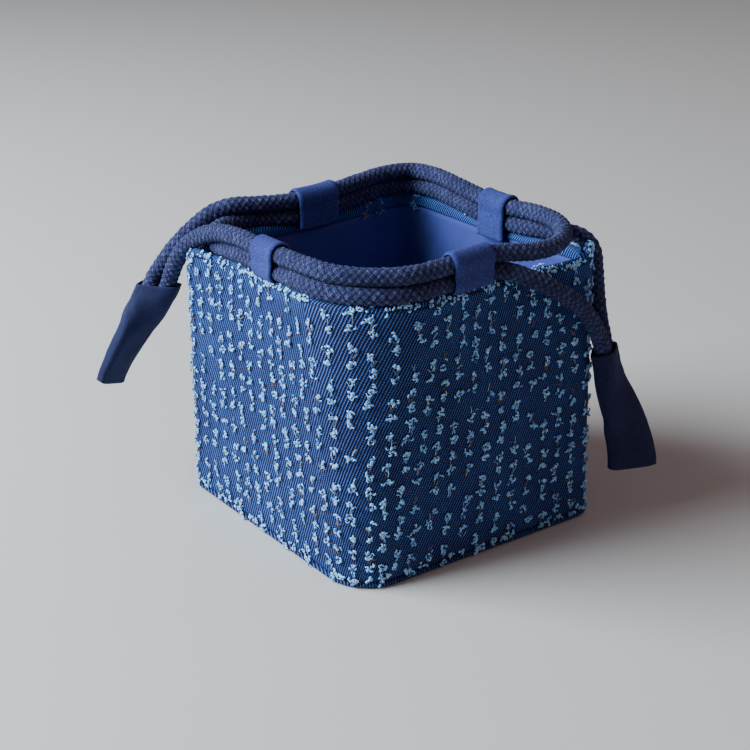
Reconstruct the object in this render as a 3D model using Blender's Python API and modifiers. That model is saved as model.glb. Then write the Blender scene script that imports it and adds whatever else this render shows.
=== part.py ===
"""Cube-shaped cloth bag for teaware: denim shell, cotton lining, four rim tabs,
two braided drawcords and the two cloth covers on their ends.

Blender 4.5, metres, +Z up. The origin is on the ground under the middle of the base.
The corner named "front" points to -X -Y, "right" to +X -Y, "back" to +X +Y and
"left" to -X +Y. Side n runs from corner n to the next one in that order.
"""
import math

import bmesh
import bpy
from mathutils import Vector

NAME = "teaware_bag"
MM = 0.001

# Cloth thicknesses and the space left between neighbouring pieces.
DENIM = 1.6 * MM
FACING = 1.8 * MM
LINING = 1.2 * MM
BINDING = 1.6 * MM
TAB = 1.0 * MM
GAP = 0.3 * MM

# Cord diameter and the heights of the two stacked cords above the rim.
CORD = 5.0 * MM
LOW = GAP + CORD / 2
HIGH = LOW + CORD + GAP
OVER_RIM = 1.95 * MM

# Corner: base x y, rim x y, base radius, rim radius, rim height, facing depth, and
# how far the rim stands up or dips in the middle of the corner (mm).
CORNERS = (
    ((-45.5, -47.5), (-44.7, -46.4), 14.0, 24.0, 86.5, 4.0, 0.0),
    ((47.7, -48.2), (47.5, -46.2), 7.0, 8.0, 87.2, 3.5, 3.4),
    ((46.0, 46.5), (45.4, 46.4), 8.0, 11.0, 86.3, 4.0, 0.0),
    ((-47.2, 47.0), (-48.2, 46.6), 7.0, 8.0, 84.3, 4.5, -4.0),
)
# Side: how far the rim is drawn in, rim height, facing depth, bulge below (mm).
SIDES = (
    (2.6, 86.3, 4.0, 0.7),
    (1.8, 85.0, 1.8, 0.5),
    (2.4, 83.9, 2.4, 0.6),
    (2.2, 85.0, 4.0, 0.8),
)
ARC_STEPS = 8
SIDE_STEPS = 10

# Share of the wall height at which the facing ends and the lining begins.
FACING_LEVEL = 0.955

WALL_FOOT = BINDING + GAP
LINING_FOOT = WALL_FOOT + LINING + GAP


def mix(a, b, f):
    return a + (b - a) * f


def smooth(f):
    f = min(max(f, 0.0), 1.0)
    return f * f * (3 - 2 * f)


def corner_data(index, level, inset):
    """Corner point and the unit vectors to its two neighbours at one level."""
    def at(i):
        base, rim = CORNERS[i % 4][:2]
        return Vector((mix(base[0], rim[0], level), mix(base[1], rim[1], level))) * MM
    point = at(index)
    back = (at(index - 1) - point).normalized()
    ahead = (at(index + 1) - point).normalized()
    radius = mix(CORNERS[index % 4][2], CORNERS[index % 4][3], level) * MM
    return point + (back + ahead) * inset, back, ahead, max(radius - inset, 0.6 * MM)


def on_corner(index, f, level=1.0, inset=0.0):
    """Plan point on the rounded corner, f from 0 to 1, with rim height and facing."""
    point, back, ahead, radius = corner_data(index, level, inset)
    angle = f * math.pi / 2
    plan = point + (back + ahead) * radius
    plan = plan - (ahead * math.cos(angle) + back * math.sin(angle)) * radius
    height = CORNERS[index % 4][4] + CORNERS[index % 4][6] * math.sin(math.pi * f)
    return plan, height * MM, CORNERS[index % 4][5] * MM


def on_side(index, f, level=1.0, inset=0.0):
    """Plan point on a side, f from 0 to 1 between its rounded corners."""
    start, _, ahead, r0 = corner_data(index, level, inset)
    end, back, _, r1 = corner_data(index + 1, level, inset)
    a, b = start + ahead * r0, end + back * r1
    along = (b - a).normalized()
    inward = Vector((-along.y, along.x))
    drawn, height, facing, bulge = SIDES[index % 4]
    bow = drawn * level ** 2 - bulge * math.sin(math.pi * level)
    bow *= math.sin(math.pi * f) ** 2
    plan = a.lerp(b, f) + inward * bow * MM
    near = CORNERS[index % 4] if f < 0.5 else CORNERS[(index + 1) % 4]
    share = smooth(1 - abs(2 * f - 1))
    return plan, mix(near[4], height, share) * MM, mix(near[5], facing, share) * MM


def outline(level, inset):
    """All plan points round the bag with rim height and facing depth."""
    points = []
    for index in range(4):
        for step in range(ARC_STEPS + 1):
            points.append(on_corner(index, step / ARC_STEPS, level, inset))
        for step in range(1, SIDE_STEPS):
            points.append(on_side(index, step / SIDE_STEPS, level, inset))
    return points


def cloth_fold(step, count, height):
    """Soft wave that lets the lining stand a little off the wall."""
    turn = 2 * math.pi * step / count
    wave = 0.5 + 0.3 * math.sin(3 * turn + 0.7) + 0.2 * math.sin(7 * turn + 2.1)
    return 1.0 * MM * wave * math.sin(math.pi * height)


def new_collection(name, hidden=False):
    collection = bpy.data.collections.new(name)
    bpy.context.scene.collection.children.link(collection)
    collection.hide_render = hidden
    return collection


def material(name, colour, roughness):
    mat = bpy.data.materials.new(name)
    mat.use_nodes = True
    shader = mat.node_tree.nodes["Principled BSDF"]
    shader.inputs["Base Color"].default_value = (*colour, 1.0)
    shader.inputs["Roughness"].default_value = roughness
    shader.inputs["Metallic"].default_value = 0.0
    return mat


def add_object(name, data, mat, collection):
    obj = bpy.data.objects.new(name, data)
    collection.objects.link(obj)
    data.materials.append(mat)
    return obj


def mesh_from_rings(name, rings, mat, collection, cap_ends):
    """Loft closed rings of points; the rings close on themselves unless capped."""
    bm = bmesh.new()
    rows = [[bm.verts.new(point) for point in ring] for ring in rings]
    count = len(rows[0])
    pairs = list(zip(rows, rows[1:]))
    if not cap_ends:
        pairs.append((rows[-1], rows[0]))
    for low, high in pairs:
        for i in range(count):
            j = (i + 1) % count
            bm.faces.new((low[i], low[j], high[j], high[i]))
    if cap_ends:
        bm.faces.new(list(reversed(rows[0])))
        bm.faces.new(rows[-1])
    bmesh.ops.recalc_face_normals(bm, faces=bm.faces)
    if bm.calc_volume(signed=True) < 0:
        bmesh.ops.reverse_faces(bm, faces=bm.faces)
    mesh = bpy.data.meshes.new(name)
    bm.to_mesh(mesh)
    bm.free()
    for face in mesh.polygons:
        face.use_smooth = True
    return add_object(name, mesh, mat, collection)


def build_denim_wall(mat, collection):
    """One band of denim round the bag, turned over the rim to make the facing."""
    levels = (0.0, 0.03, 0.14, 0.28, 0.42, 0.56, 0.7, 0.82, 0.92)
    radius = (DENIM + FACING) / 2
    rings = []

    def ring(level, inset, lift=0.0):
        rings.append([(p.x, p.y, mix(WALL_FOOT, h, level) + lift)
                      for p, h, _ in outline(level, inset)])

    ring(0.0, 0.5 * MM)
    for level in levels[1:]:
        ring(level, 0.0)
    for angle in (0, 36, 72, 108, 144, 180):
        turn = math.radians(angle)
        ring(1.0, radius * (1 - math.cos(turn)), -radius * (1 - math.sin(turn)))
    for inset in (DENIM + FACING, DENIM):
        rings.append([(p.x, p.y, h - max(facing, radius + 0.1 * MM))
                      for p, h, facing in outline(FACING_LEVEL, inset)])
    for level in reversed(levels[:-1]):
        ring(level, DENIM)
    return mesh_from_rings("denim_wall", rings, mat, collection, False)


def build_denim_base(mat, collection):
    """Square denim base whose turned edge shows as a lip under the wall."""
    profile = ((1.0, 0.0), (0.0, 0.25), (-0.35, 0.8), (0.0, 1.35), (1.0, 1.6))
    rings = [[(p.x, p.y, z * BINDING / 1.6) for p, _, _ in outline(0.0, inset * MM)]
             for inset, z in profile]
    return mesh_from_rings("denim_base", rings, mat, collection, True)


def build_lining_base(mat, collection):
    inset = DENIM + GAP
    profile = ((0.3, 0.0), (0.0, 0.3), (0.0, 0.9), (0.3, 1.2))
    rings = [[(p.x, p.y, WALL_FOOT + z * LINING / 1.2)
              for p, _, _ in outline(0.0, inset + step * MM)]
             for step, z in profile]
    return mesh_from_rings("lining_base", rings, mat, collection, True)


def build_lining_wall(mat, collection):
    """Cotton lining that hangs from the lower edge of the denim facing."""
    outer = DENIM + GAP
    levels = (0.0, 0.1, 0.22, 0.36, 0.5, 0.64, 0.78, 0.9, 1.0)
    rings = []

    def ring(height, inset):
        points = outline(height * FACING_LEVEL, inset)
        rows = []
        for step, (p, h, facing) in enumerate(points):
            top = h - max(facing, 1.8 * MM) - GAP
            off = cloth_fold(step, len(points), height)
            centre = Vector((p.x, p.y)).normalized() * off
            rows.append((p.x - centre.x, p.y - centre.y, mix(LINING_FOOT, top, height)))
        rings.append(rows)

    for height in levels:
        ring(height, outer)
    for height in reversed(levels):
        ring(height, outer + LINING)
    return mesh_from_rings("lining_wall", rings, mat, collection, False)


def above_rim(place, inward, lift):
    """Point at a place on the rim: plan point, height; moved inward and up."""
    kind, index, f = place
    find = on_side if kind == "side" else on_corner
    plan, height, _ = find(index, f)
    inner, _, _ = find(index, f, 1.0, 2.0 * MM)
    step = (inner - plan).normalized() * inward
    return Vector((plan.x + step.x, plan.y + step.y, height + lift))


def build_tab(name, side, middle, top_width, foot_width, drop, mat, collection):
    """Cotton strip sewn to the facing, up and over both cords, down to the rim."""
    reach = CORD / 2 + 1.3 * GAP + TAB / 2
    path = [(OVER_RIM + reach, mix(1.6, -drop, f) * MM) for f in (1.0, 0.64, 0.27, 0.0)]
    path += [(OVER_RIM + reach, LOW), (OVER_RIM + reach, (LOW + HIGH) / 2)]
    for angle in range(0, 181, 20):
        turn = math.radians(angle)
        path.append((OVER_RIM + reach * math.cos(turn), HIGH + reach * math.sin(turn)))
    path += [(OVER_RIM - reach, (LOW + HIGH) / 2), (OVER_RIM - reach, LOW)]
    for angle in (200, 220, 234):
        turn = math.radians(angle)
        path.append((OVER_RIM + reach * math.cos(turn), LOW + reach * math.sin(turn)))
    across = 5
    start, end = on_side(side, 0.0)[0], on_side(side, 1.0)[0]
    length = (end - start).length
    bm = bmesh.new()
    rows = []
    for inward, lift in path:
        width = mix(foot_width, top_width, smooth(lift / HIGH)) * MM
        row = []
        for step in range(across):
            f = middle + (step / (across - 1) - 0.5) * width / length
            row.append(bm.verts.new(above_rim(("side", side, f), inward, lift)))
        rows.append(row)
    for low, high in zip(rows, rows[1:]):
        for i in range(across - 1):
            bm.faces.new((low[i], low[i + 1], high[i + 1], high[i]))
    bmesh.ops.recalc_face_normals(bm, faces=bm.faces)
    mesh = bpy.data.meshes.new(name)
    bm.to_mesh(mesh)
    bm.free()
    obj = add_object(name, mesh, mat, collection)
    thick = obj.modifiers.new("cloth thickness", "SOLIDIFY")
    thick.thickness = TAB
    thick.offset = 0.0
    thick.use_even_offset = False
    return obj


def smooth_route(points, spacing):
    """Points at even steps along a smooth curve through the hand-chosen points."""
    dense = []
    for i in range(len(points) - 1):
        p0 = points[i - 1] if i else points[0] * 2 - points[1]
        p1, p2 = points[i], points[i + 1]
        p3 = points[i + 2] if i + 2 < len(points) else p2 * 2 - p1
        k1 = max((p1 - p0).length, 1e-6) ** 0.5
        k2 = max((p2 - p1).length, 1e-6) ** 0.5
        k3 = max((p3 - p2).length, 1e-6) ** 0.5
        m1 = ((p1 - p0) / k1 - (p2 - p0) / (k1 + k2) + (p2 - p1) / k2) * k2
        m2 = ((p2 - p1) / k2 - (p3 - p1) / (k2 + k3) + (p3 - p2) / k3) * k2
        for step in range(20):
            t = step / 20
            dense.append(p1 * (2 * t ** 3 - 3 * t ** 2 + 1) + m1 * (t ** 3 - 2 * t ** 2 + t)
                         + p2 * (3 * t ** 2 - 2 * t ** 3) + m2 * (t ** 3 - t ** 2))
    dense.append(points[-1])
    lengths = [0.0]
    for a, b in zip(dense, dense[1:]):
        lengths.append(lengths[-1] + (b - a).length)
    count = max(int(round(lengths[-1] / spacing)), 2)
    route, j = [], 0
    for step in range(count + 1):
        goal = lengths[-1] * step / count
        while j < len(lengths) - 2 and lengths[j + 1] < goal:
            j += 1
        span = lengths[j + 1] - lengths[j]
        route.append(dense[j].lerp(dense[j + 1], (goal - lengths[j]) / span))
    return route


def route_point(entry):
    """A route entry is a free point in mm or a place on the rim with two offsets."""
    if isinstance(entry[0], tuple):
        return above_rim(entry[0], entry[1] * MM, entry[2] * MM)
    return Vector(entry) * MM


def build_cord(name, entries, mat, collection):
    points = smooth_route([route_point(entry) for entry in entries], 4.95 * MM)
    curve = bpy.data.curves.new(name, "CURVE")
    curve.dimensions = "3D"
    spline = curve.splines.new("POLY")
    spline.points.add(len(points) - 1)
    for slot, point in zip(spline.points, points):
        slot.co = (*point, 1.0)
    curve.bevel_depth = CORD / 2
    curve.bevel_resolution = 3
    curve.use_fill_caps = True
    return add_object(name, curve, mat, collection)


OVER = OVER_RIM / MM
DOWN = LOW / MM
UP = HIGH / MM

# Left cord: from its cover over the left corner, round the bag and back.
LEFT_ROUTE = (
    (-50.3, 53.4, 66.1),
    (-49.6, 52.1, 68.2),
    (-49.0, 50.5, 72.4),
    (-48.2, 48.5, 77.0),
    (-47.1, 45.7, 81.7),
    (-45.5, 42.0, 85.5),
    (-44.4, 37.6, 88.3),
    (-43.8, 32.0, 90.6),
    (-43.2, 25.6, 92.2),
    (-42.8, 17.5, 93.0),
    (("side", 3, 0.50), OVER, UP),
    (("side", 3, 0.62), OVER, UP),
    (("side", 3, 0.76), OVER, UP),
    (("side", 3, 0.92), 2.4, UP),
    (("corner", 0, 0.25), 3.0, UP),
    (("corner", 0, 0.55), 3.2, UP),
    (("corner", 0, 0.85), 2.4, UP),
    (("side", 0, 0.14), OVER, UP),
    (("side", 0, 0.30), OVER, UP),
    (("side", 0, 0.45), OVER, UP),
    (14.0, -43.7, 93.8),
    (21.5, -44.3, 92.9),
    (29.0, -43.4, 92.6),
    (36.0, -40.0, 93.1),
    (41.0, -34.2, 94.0),
    (43.1, -26.5, 94.5),
    (("side", 1, 0.31), OVER, UP + 0.1),
    (("side", 1, 0.39), OVER, UP),
    (("side", 1, 0.47), OVER, UP),
    (("side", 1, 0.60), OVER, UP),
    (("side", 1, 0.80), OVER, UP),
    (("side", 1, 0.96), OVER, UP),
    (("corner", 2, 0.50), 2.2, UP),
    (("side", 2, 0.04), OVER, UP),
    (("side", 2, 0.20), OVER, UP),
    (("side", 2, 0.42), OVER, UP),
    (("side", 2, 0.58), OVER, UP),
    (-20.0, 44.4, 92.5),
    (-27.0, 46.9, 92.6),
    (-32.6, 49.6, 90.8),
    (-38.0, 51.6, 87.0),
    (-43.0, 52.9, 82.9),
    (-46.9, 54.2, 78.6),
    (-49.5, 55.7, 74.4),
    (-51.8, 56.6, 70.8),
    (-53.2, 56.7, 68.2),
    (-54.5, 57.4, 65.9),
)

# Right cord: from its cover over the side, round the bag and back down the corner.
RIGHT_ROUTE = (
    (46.7, -50.1, 54.4),
    (46.3, -49.8, 56.4),
    (44.5, -49.9, 61.4),
    (41.2, -50.2, 67.0),
    (36.8, -50.4, 72.6),
    (31.0, -50.2, 77.6),
    (25.4, -49.9, 81.4),
    (20.2, -49.2, 84.6),
    (15.6, -47.6, 87.0),
    (11.8, -45.2, 88.6),
    (("side", 0, 0.47), OVER, DOWN),
    (("side", 0, 0.39), OVER, DOWN),
    (("side", 0, 0.30), OVER, DOWN),
    (("side", 0, 0.14), OVER, DOWN),
    (("corner", 0, 0.85), OVER, DOWN),
    (("corner", 0, 0.50), OVER, DOWN),
    (("corner", 0, 0.15), OVER, DOWN),
    (("side", 3, 0.90), OVER, DOWN),
    (("side", 3, 0.76), OVER, DOWN),
    (("side", 3, 0.62), OVER, DOWN),
    (("side", 3, 0.50), OVER, DOWN),
    (-42.4, 18.0, 87.4),
    (-41.8, 26.0, 86.5),
    (-40.6, 33.2, 85.5),
    (-39.0, 38.8, 86.1),
    (-36.2, 42.6, 86.8),
    (-32.0, 45.0, 87.2),
    (-26.6, 46.0, 87.15),
    (-20.0, 45.7, 87.1),
    (("side", 2, 0.58), OVER, DOWN),
    (("side", 2, 0.42), OVER, DOWN),
    (("side", 2, 0.20), OVER, DOWN),
    (("side", 2, 0.04), OVER, DOWN),
    (("corner", 2, 0.50), OVER, DOWN),
    (("side", 1, 0.96), OVER, DOWN),
    (("side", 1, 0.80), OVER, DOWN),
    (("side", 1, 0.60), OVER, DOWN),
    (("side", 1, 0.47), OVER, DOWN),
    (("side", 1, 0.33), OVER, DOWN),
    (44.6, -21.0, 89.0),
    (45.6, -27.0, 89.8),
    (47.3, -31.8, 90.3),
    (49.6, -35.6, 88.8),
    (50.7, -38.0, 85.6),
    (50.8, -39.2, 81.0),
    (50.7, -40.2, 76.0),
    (50.5, -41.4, 70.8),
    (50.4, -42.8, 65.6),
    (50.4, -44.6, 60.6),
    (50.5, -46.0, 56.6),
    (50.8, -46.4, 54.6),
)

# End cover: centre, half width and half depth in mm, the width direction in plan
# (degrees), how much it falls away, and how square the section is; from the closed
# foot up to the mouth.
LEFT_COVER = (
    ((-65.0, 66.6, 34.2), 7.3, 1.8, 32, -0.36, 5.0),
    ((-64.2, 65.8, 37.4), 7.2, 1.9, 31, -0.35, 4.6),
    ((-62.2, 63.9, 43.0), 7.1, 2.2, 28, -0.33, 4.2),
    ((-59.9, 61.6, 48.8), 7.0, 2.6, 22, -0.30, 3.8),
    ((-57.6, 59.2, 54.4), 6.8, 3.0, 14, -0.27, 3.4),
    ((-55.2, 57.1, 60.0), 6.7, 3.7, -20, -0.16, 3.3),
    ((-52.8, 55.4, 65.0), 7.1, 4.3, -46, -0.04, 3.8),
    ((-51.4, 54.4, 68.8), 7.1, 4.3, -50, 0.0, 3.8),
)
RIGHT_COVER = (
    ((56.0, -55.9, 17.4), 8.5, 1.8, -14, -0.05, 5.0),
    ((55.9, -55.8, 20.2), 8.5, 1.8, -13, -0.05, 4.6),
    ((55.4, -55.1, 24.8), 8.3, 2.0, -11, -0.05, 4.2),
    ((54.5, -54.1, 29.5), 8.1, 2.2, -8, -0.02, 3.8),
    ((53.5, -53.1, 34.6), 7.5, 2.4, -2, 0.04, 3.4),
    ((52.0, -51.6, 39.6), 7.0, 2.8, 6, 0.14, 3.2),
    ((50.4, -50.1, 44.6), 6.7, 3.2, 18, 0.14, 3.0),
    ((49.3, -49.1, 50.4), 6.7, 3.7, 32, 0.04, 3.2),
    ((48.3, -48.0, 56.4), 6.8, 4.0, 42, -0.04, 3.6),
)
COVER_CLOTH = 0.8 * MM
COVER_SIDES = 24


def cover_ring(centre, axis, half_width, half_depth, angle, fall, power, shrink):
    """Rounded-rectangle ring of a cover, cut across at the given fall."""
    wide = Vector((math.cos(math.radians(angle)), math.sin(math.radians(angle)), fall))
    wide.normalize()
    deep = axis.cross(wide).normalized()
    ring = []
    for step in range(COVER_SIDES):
        turn = 2 * math.pi * step / COVER_SIDES
        c, s = math.cos(turn), math.sin(turn)
        a = math.copysign(abs(c) ** (2 / power), c) * (half_width * MM - shrink)
        b = math.copysign(abs(s) ** (2 / power), s) * (half_depth * MM - shrink)
        ring.append(centre + wide * a + deep * b)
    return ring


def build_cover(name, sections, mat, collection):
    """Cloth sleeve closed at its foot, with the two cord ends inside its mouth."""
    centres = [Vector(section[0]) * MM for section in sections]
    rings = []

    def add(index, shrink, slide=0.0, trim=1.0):
        low, high = centres[max(index - 1, 0)], centres[min(index + 1, len(centres) - 1)]
        axis = (high - low).normalized()
        _, width, depth, angle, fall, power = sections[index]
        rings.append(cover_ring(centres[index] + axis * slide, axis, width * trim,
                                depth * trim, angle, fall, power, shrink))

    add(0, 0.0, -0.4 * MM, 0.9)
    for index in range(len(sections)):
        add(index, 0.0)
    last = len(sections) - 1
    add(last, 0.3 * MM, 0.3 * MM)
    add(last, COVER_CLOTH, 0.2 * MM)
    add(last, COVER_CLOTH, -0.8 * MM)
    add(last, COVER_CLOTH, -4.4 * MM)
    add(last, COVER_CLOTH * 1.6, -4.8 * MM)
    return mesh_from_rings(name, rings, mat, collection, True)


def main():
    for obj in list(bpy.data.objects):
        bpy.data.objects.remove(obj, do_unlink=True)
    parts = new_collection(NAME)
    denim = material("denim", (0.07, 0.15, 0.42), 0.9)
    lining = material("lining_cotton", (0.07, 0.14, 0.42), 0.85)
    tab_cloth = material("tab_cotton", (0.09, 0.16, 0.45), 0.85)
    braid = material("cord_braid", (0.05, 0.07, 0.22), 0.9)
    cover_cloth = material("cover_cotton", (0.03, 0.05, 0.2), 0.85)

    build_denim_wall(denim, parts)
    build_denim_base(denim, parts)
    build_lining_wall(lining, parts)
    build_lining_base(lining, parts)
    build_tab("cord_tab_front_right", 0, 0.302, 15.8, 15.8, 2.8, tab_cloth, parts)
    build_tab("cord_tab_back_right", 1, 0.495, 12.4, 12.4, 2.8, tab_cloth, parts)
    build_tab("cord_tab_back_left", 2, 0.452, 15.6, 15.6, 1.0, tab_cloth, parts)
    build_tab("cord_tab_front_left", 3, 0.64, 12.6, 10.0, 2.8, tab_cloth, parts)
    build_cord("drawcord_left", LEFT_ROUTE, braid, parts)
    build_cord("drawcord_right", RIGHT_ROUTE, braid, parts)
    build_cover("cord_cover_left", LEFT_COVER, cover_cloth, parts)
    build_cover("cord_cover_right", RIGHT_COVER, cover_cloth, parts)


main()
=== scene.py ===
import math

import bpy
import numpy as np
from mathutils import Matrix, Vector, noise


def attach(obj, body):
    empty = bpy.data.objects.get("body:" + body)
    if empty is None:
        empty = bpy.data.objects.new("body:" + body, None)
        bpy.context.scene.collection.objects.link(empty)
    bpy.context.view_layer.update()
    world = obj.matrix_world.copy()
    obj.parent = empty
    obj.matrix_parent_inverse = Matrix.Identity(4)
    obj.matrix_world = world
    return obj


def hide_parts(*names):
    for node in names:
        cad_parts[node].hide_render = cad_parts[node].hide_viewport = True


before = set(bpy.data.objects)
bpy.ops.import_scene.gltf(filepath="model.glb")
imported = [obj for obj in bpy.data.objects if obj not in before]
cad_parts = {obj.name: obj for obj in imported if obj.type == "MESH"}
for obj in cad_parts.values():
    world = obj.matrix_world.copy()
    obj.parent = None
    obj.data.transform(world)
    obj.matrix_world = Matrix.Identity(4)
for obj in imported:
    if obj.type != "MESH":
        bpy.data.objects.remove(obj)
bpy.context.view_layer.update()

# The bag stands on the ground with its mouth up. Its four corners are named as in the
# CAD: "front" points to -X -Y, "right" to +X -Y, "back" to +X +Y and "left" to -X +Y.
# Side n runs from corner n to the next.
bpy.ops.object.select_all(action="DESELECT")


# ------------------------------
# Camera: a long lens half a metre away, a little above the rim, looking at the
# front corner so that the lit left side and the shaded right side both show.
# ------------------------------
turn, rise, distance = math.radians(-35.6), math.radians(23.2), 0.5
bag_middle, aim_left, aim_below = Vector((0.0, 0.0, 0.047)), 0.00386, 0.0035
back = Vector((math.sin(turn) * math.cos(rise), -math.cos(turn) * math.cos(rise), math.sin(rise)))
right = Vector((math.cos(turn), math.sin(turn), 0.0))
camera = bpy.data.objects.new("camera", bpy.data.cameras.new("camera"))
bpy.context.scene.collection.objects.link(camera)
camera.data.sensor_width = 36.0
camera.data.lens = 75.2
camera.data.clip_start = 0.01
aim = bag_middle - right * aim_left - back.cross(right) * aim_below
camera.location = aim + back * distance
camera.rotation_euler = (-back).to_track_quat("-Z", "Y").to_euler()
bpy.context.scene.camera = camera


# ------------------------------
# Drawcords: two round cords of braided navy cotton, twelve strands each. Both run
# through all four tabs, the left one above the right one, and each comes back to
# the corner it left, where its two ends go into one cloth cover.
# ------------------------------
cord_thick = 0.005
# Space left between neighbouring pieces, and how far inside the outer face of the rim
# the middle of a cord lies.
cloth_gap = 0.0003
over_rim = 0.00195
low_cord = cloth_gap + cord_thick / 2
high_cord = low_cord + cord_thick + cloth_gap

# The cords follow the rim, so the bag's shape comes here. Corner: base x y, rim x y,
# base radius, rim radius, rim height, facing depth and how far the rim stands up or dips
# there. Side: how far the rim is drawn in, rim height, facing depth and bulge. In metres.
corners = (
    ((-0.0455, -0.0475), (-0.0447, -0.0464), 0.014, 0.024, 0.0865, 0.0040, 0.0),
    ((0.0477, -0.0482), (0.0475, -0.0462), 0.007, 0.008, 0.0872, 0.0035, 0.0034),
    ((0.0460, 0.0465), (0.0454, 0.0464), 0.008, 0.011, 0.0863, 0.0040, 0.0),
    ((-0.0472, 0.0470), (-0.0482, 0.0466), 0.007, 0.008, 0.0843, 0.0045, -0.0040),
)
sides = (
    (0.0026, 0.0863, 0.0040, 0.0007),
    (0.0018, 0.0850, 0.0018, 0.0005),
    (0.0024, 0.0839, 0.0024, 0.0006),
    (0.0022, 0.0850, 0.0040, 0.0008),
)


def mix(a, b, f):
    """The value a share f of the way from a to b."""
    return a + (b - a) * f


def ease(f):
    """A share that starts and stops softly, held between 0 and 1."""
    f = min(max(f, 0.0), 1.0)
    return f * f * (3 - 2 * f)


def corner_frame(index, level, inset):
    """Corner point, the directions to its neighbours and its radius at one level."""
    smallest = 0.0006

    def at(i):
        base, rim = corners[i % 4][:2]
        return Vector((mix(base[0], rim[0], level), mix(base[1], rim[1], level)))

    point = at(index)
    behind = (at(index - 1) - point).normalized()
    ahead = (at(index + 1) - point).normalized()
    radius = mix(corners[index % 4][2], corners[index % 4][3], level)
    return point + (behind + ahead) * inset, behind, ahead, max(radius - inset, smallest)


def on_corner(index, f, level=1.0, inset=0.0):
    """Plan point on a rounded corner, with the rim height and facing depth there."""
    point, behind, ahead, radius = corner_frame(index, level, inset)
    angle = f * math.pi / 2
    plan = point + (behind + ahead) * radius
    plan = plan - (ahead * math.cos(angle) + behind * math.sin(angle)) * radius
    *_, height, facing, crest = corners[index % 4]
    return plan, height + crest * math.sin(math.pi * f), facing


def on_side(index, f, level=1.0, inset=0.0):
    """Plan point on a side between its rounded corners, with the same two depths."""
    start, _, ahead, r0 = corner_frame(index, level, inset)
    end, behind, _, r1 = corner_frame(index + 1, level, inset)
    a, b = start + ahead * r0, end + behind * r1
    along = (b - a).normalized()
    drawn, height, facing, bulge = sides[index % 4]
    bow = drawn * level ** 2 - bulge * math.sin(math.pi * level)
    plan = a.lerp(b, f) + Vector((-along.y, along.x)) * bow * math.sin(math.pi * f) ** 2
    *_, corner_height, corner_facing, _ = corners[(index if f < 0.5 else index + 1) % 4]
    share = ease(1 - abs(2 * f - 1))
    return plan, mix(corner_height, height, share), mix(corner_facing, facing, share)


def find_plan(place, level=1.0, inset=0.0):
    """Plan point, rim height and facing depth at a place: a corner or side, and how far on."""
    kind, index, f = place
    return (on_corner if kind == "corner" else on_side)(index, f, level, inset)


def above_rim(place, inward, lift):
    """Point at a place on the rim, moved inward and up."""
    a_little_in = 0.002
    plan, height, _ = find_plan(place)
    inner = find_plan(place, 1.0, a_little_in)[0]
    step = (inner - plan).normalized() * inward
    return Vector((*(plan + step), height + lift))


def on_rim(kind, index, shares, lift):
    """Entries of a route that lie on one side or corner of the rim."""
    return [((kind, index, f), over_rim, lift) for f in shares]


# From one end inside the cover to the other. An entry is a free point, or a place on the
# rim with how far inwards and how high above it the middle of the cord runs.
left_route = (
    (-0.0503, 0.0534, 0.0661), (-0.0496, 0.0521, 0.0682), (-0.0490, 0.0505, 0.0724),
    (-0.0482, 0.0485, 0.0770), (-0.0471, 0.0457, 0.0817), (-0.0455, 0.0420, 0.0855),
    (-0.0444, 0.0376, 0.0883), (-0.0438, 0.0320, 0.0906), (-0.0432, 0.0256, 0.0922),
    (-0.0428, 0.0175, 0.0930),
    *on_rim("side", 3, (0.50, 0.62, 0.76), high_cord), (("side", 3, 0.92), 0.0024, high_cord),
    (("corner", 0, 0.25), 0.0030, high_cord), (("corner", 0, 0.55), 0.0032, high_cord),
    (("corner", 0, 0.85), 0.0024, high_cord), *on_rim("side", 0, (0.14, 0.30, 0.45), high_cord),
    (0.0140, -0.0437, 0.0938), (0.0215, -0.0443, 0.0929), (0.0290, -0.0434, 0.0926),
    (0.0360, -0.0400, 0.0931), (0.0410, -0.0342, 0.0940), (0.0431, -0.0265, 0.0945),
    *on_rim("side", 1, (0.31,), high_cord + 0.0001),
    *on_rim("side", 1, (0.39, 0.47, 0.60, 0.80, 0.96), high_cord),
    (("corner", 2, 0.50), 0.0022, high_cord),
    *on_rim("side", 2, (0.04, 0.20, 0.42, 0.58), high_cord),
    (-0.0200, 0.0444, 0.0925), (-0.0270, 0.0469, 0.0926), (-0.0326, 0.0496, 0.0908),
    (-0.0380, 0.0516, 0.0870), (-0.0430, 0.0529, 0.0829), (-0.0469, 0.0542, 0.0786),
    (-0.0495, 0.0557, 0.0744), (-0.0518, 0.0566, 0.0708), (-0.0532, 0.0567, 0.0682),
    (-0.0545, 0.0574, 0.0659),
)
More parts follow.
